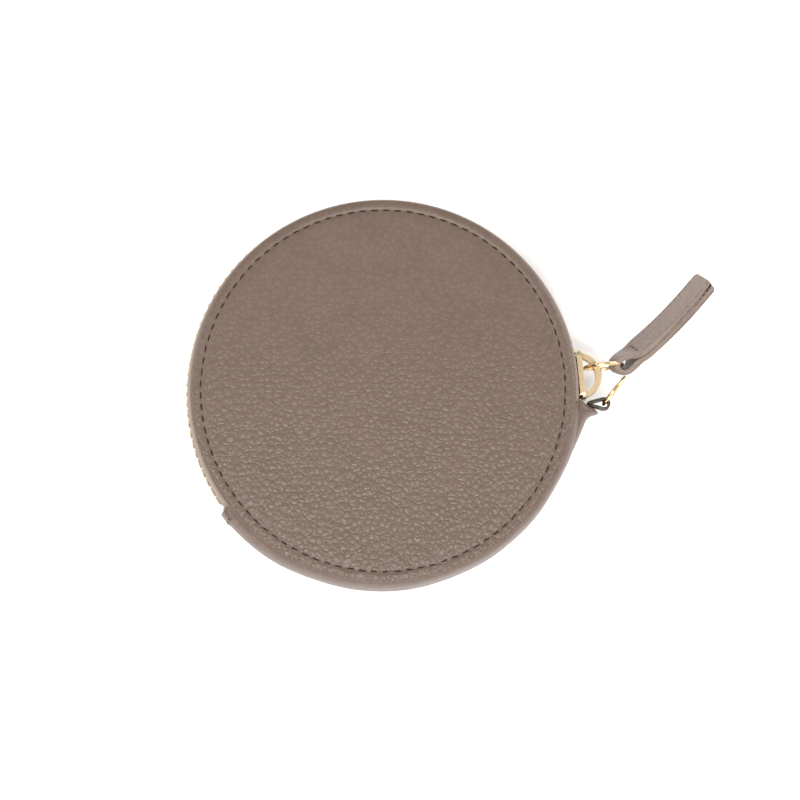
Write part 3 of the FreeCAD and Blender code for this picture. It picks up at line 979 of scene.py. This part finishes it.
# ---------------------------------------------------------------- puller
@dataclass
class Puller:
    """Leather strip folded round the pull ring, its two layers sewn together."""

    hold: Vector
    angle: float = 44.9
    length: float = 31.6
    half_width: float = 3.85
    layer: float = 1.55
    twist: float = 40.0
    bow: float = 0.9
    neck_half_width: float = 3.1
    corner: float = 1.3

    def width_at(self, x: float) -> float:
        """Half the strip's width at a place along it."""
        neck, corner = self.neck_half_width, self.corner
        wide = neck + (self.half_width - neck) * ease(x, 0.6, 4.2)
        beyond = x - (self.length - corner)
        if beyond > 0:
            wide -= corner - math.sqrt(max(0.0, corner**2 - min(beyond, corner) ** 2))
        return wide

    def at(self, x: float, y: float, z: float) -> Matrix:
        """Place in the twisted and slightly bowed strap.

        Args:
            x: distance along the strap.
            y: distance from its middle layer.
            z: distance across its width.

        Returns:
            Matrix of the place, its X axis along the strap.
        """
        base = Matrix.Translation(self.hold) @ Matrix.Rotation(math.radians(self.angle), 4, "Z")
        sag = self.bow * math.sin(math.pi * x / self.length)
        bow = Matrix.Translation(Vector((0, -sag, 0)) * MM)
        turn = Matrix.Rotation(math.radians(self.twist * (0.45 + 0.55 * ease(x, 0.0, 7.0))), 4, "X")
        return base @ bow @ turn @ Matrix.Translation(Vector((x, y, z)) * MM)

    def fold_line(self) -> list[Point]:
        """Middle line of the folded strip, from one end round the ring to the other."""
        end = self.length
        side = [
            (end, 0.74),
            (end - 0.15, 0.74),
            (end - 0.5, 0.75),
            (end - 1.0, 0.76),
            (end - 2.0, 0.77),
            (25.0, 0.79),
            (20.0, 0.80),
            (15.0, 0.82),
            (10.0, 0.84),
            (6.5, 0.88),
            (4.4, 0.90),
            (3.2, 1.14),
            (2.0, 1.62),
            (0.3, 1.98),
            (-1.42, 1.40),
        ]
        other = [(x, -y) for x, y in reversed(side)]
        return smooth_line([*side, (-2.05, 0.0), *other], 3)

    def strap(self) -> bpy.types.Object:
        """The folded strip."""
        line = self.fold_line()
        rings = []
        for share, full in (
            (-1.0, 0.55),
            (-0.975, 0.85),
            (-0.93, 1.0),
            (-0.6, 1.0),
            (-0.3, 1.0),
            (0.0, 1.0),
            (0.3, 1.0),
            (0.6, 1.0),
            (0.93, 1.0),
            (0.975, 0.85),
            (1.0, 0.55),
        ):
            ring = []
            for x, y in thicken(line, self.layer * full):
                ring.append(self.at(x, y, share * self.width_at(x)).translation)
            rings.append(ring)
        return Piece("puller_leather").loft(rings).build(Finish.STRAP)

    def stitches(self) -> None:
        """Seam along both edges of the strap and across its neck."""
        tonal, dark = Piece("puller_seam"), Piece("puller_neck_stitches")
        long_stitch = Vector((0.72, 0.13, 0.17)) * MM
        for face in (1, -1):
            level = face * (0.80 + self.layer / 2 - 0.03)
            for number in range(12):
                x = 6.8 + number * 1.95
                for edge in (-1, 1):
                    tonal.bead(self.at(x, level, edge * (self.half_width - 0.62)), long_stitch)
            for across in (-1.7, -0.55, 0.6, 1.75):
                place = self.at(5.2, face * 1.68, across) @ Matrix.Rotation(
                    math.radians(90), 4, "Y"
                )
                dark.bead(place, Vector((0.42, 0.13, 0.17)) * MM)
        for piece in (tonal.build(Finish.FINE_THREAD), dark.build(Finish.THREAD)):
            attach(piece, "puller")

    def build(self) -> None:
        """Make the puller and tie it to the frame."""
        strap = self.strap()
        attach(strap, "puller")
        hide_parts("puller_strap")
        self.stitches()


# ---------------------------------------------------------------- hardware
@dataclass
class Hardware:
    """Metal parts of the frame, given their plating."""

    finishes: dict[str, Finish] = field(
        default_factory=lambda: {
            "slider_outer_plate": Finish.BRUSHED,
            "slider_inner_plate": Finish.BRUSHED,
            "slider_crown": Finish.BRUSHED,
            "pull_ring": Finish.POLISHED,
            "side_ring": Finish.POLISHED,
            "top_stop": Finish.POLISHED,
            "bottom_stop": Finish.POLISHED,
        }
    )

    def build(self) -> None:
        """Put each finish in its node's material slot."""
        for node, finish in self.finishes.items():
            slots = frame["nodes"][node].data.materials
            slots.clear()
            slots.append(finish.material())


# ---------------------------------------------------------------- studio
@dataclass(frozen=True)
class SoftBox:
    """Soft box that faces the purse: its place and size in metres, its power in watts."""

    name: str
    place: tuple[float, float, float]
    size: Point
    power: float
    tint: Colour

    def build(self) -> None:
        """Hang the box."""
        lamp = bpy.data.lights.new(self.name, "AREA")
        lamp.shape = "RECTANGLE"
        lamp.size, lamp.size_y = self.size
        lamp.energy = self.power
        lamp.color = self.tint
        made = bpy.data.objects.new(self.name, lamp)
        made.location = self.place
        made.rotation_euler = (-Vector(self.place)).to_track_quat("-Z", "Y").to_euler()
        bpy.context.scene.collection.objects.link(made)


@dataclass
class Studio:
    """Paper, lights and camera."""

    target: Vector = field(default_factory=lambda: Vector((4.4, -2.5, 20.0)) * MM)
    distance: float = 0.85
    lean: float = 7.5
    field_width: float = 0.2075
    sensor: float = 36.0
    air: float = 0.75
    boxes: tuple[SoftBox, ...] = (
        SoftBox("key_box", (-0.10, -0.42, 1.05), (0.50, 0.22), 12.0, (1.0, 0.99, 0.97)),
        SoftBox("left_box", (-0.95, 0.35, 0.50), (0.4, 0.9), 7.0, (1.0, 1.0, 1.0)),
        SoftBox("right_box", (0.90, 0.45, 0.50), (0.4, 0.8), 9.0, (1.0, 0.99, 0.98)),
        SoftBox("low_box", (0.1, -1.0, 0.35), (0.9, 0.25), 5.0, (1.0, 1.0, 1.0)),
    )

    def paper(self) -> None:
        """Large sheet of paper under the purse."""
        sheet = Piece("studio_paper")
        bmesh.ops.create_grid(sheet.mesh, x_segments=8, y_segments=8, size=1.6)
        floor = sheet.build(Finish.PAPER)
        floor.location.z = -0.12 * MM

    def sky(self) -> None:
        """Even light from all round."""
        world = bpy.data.worlds.new("studio_air")
        world.use_nodes = True
        tree = world.node_tree
        back = tree.nodes["Background"]
        back.inputs["Color"].default_value = (1.0, 0.99, 0.98, 1.0)
        back.inputs["Strength"].default_value = self.air
        bpy.context.scene.world = world

    def camera(self) -> None:
        """Long lens straight above, leaning a little to the lower side."""
        data = bpy.data.cameras.new("studio_camera")
        data.sensor_width = self.sensor
        data.lens = self.sensor * self.distance / self.field_width
        made = bpy.data.objects.new("studio_camera", data)
        lean = math.radians(self.lean)
        away = Vector((0.0, -math.sin(lean), math.cos(lean)))
        made.location = self.target + away * self.distance
        made.rotation_euler = (-away).to_track_quat("-Z", "Y").to_euler()
        bpy.context.scene.collection.objects.link(made)
        bpy.context.scene.camera = made

    def build(self) -> None:
        """Set the whole studio up."""
        self.paper()
        self.sky()
        for box in self.boxes:
            box.build()
        bpy.context.scene.view_settings.view_transform = "Standard"
        self.camera()


def report() -> None:
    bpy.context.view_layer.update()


def main() -> None:
    """Build the purse and its studio."""
    logging.basicConfig(level=logging.INFO)
    report()
    lift = Lift.from_record(frame["record"])
    joints = {joint["name"]: joint for joint in frame["record"]["behaviour"]["joints"]}
    for part in (
        Panel("back"),
        Panel("front", lift),
        Zip(lift),
        Gusset(),
        RightEnd(),
        Puller(Vector(joints["puller_swing"]["pos_m"])),
        Hardware(),
        Studio(),
    ):
        part.build()
        log.info("%s built", type(part).__name__)
    report()


if __name__ == "__main__":
    main()
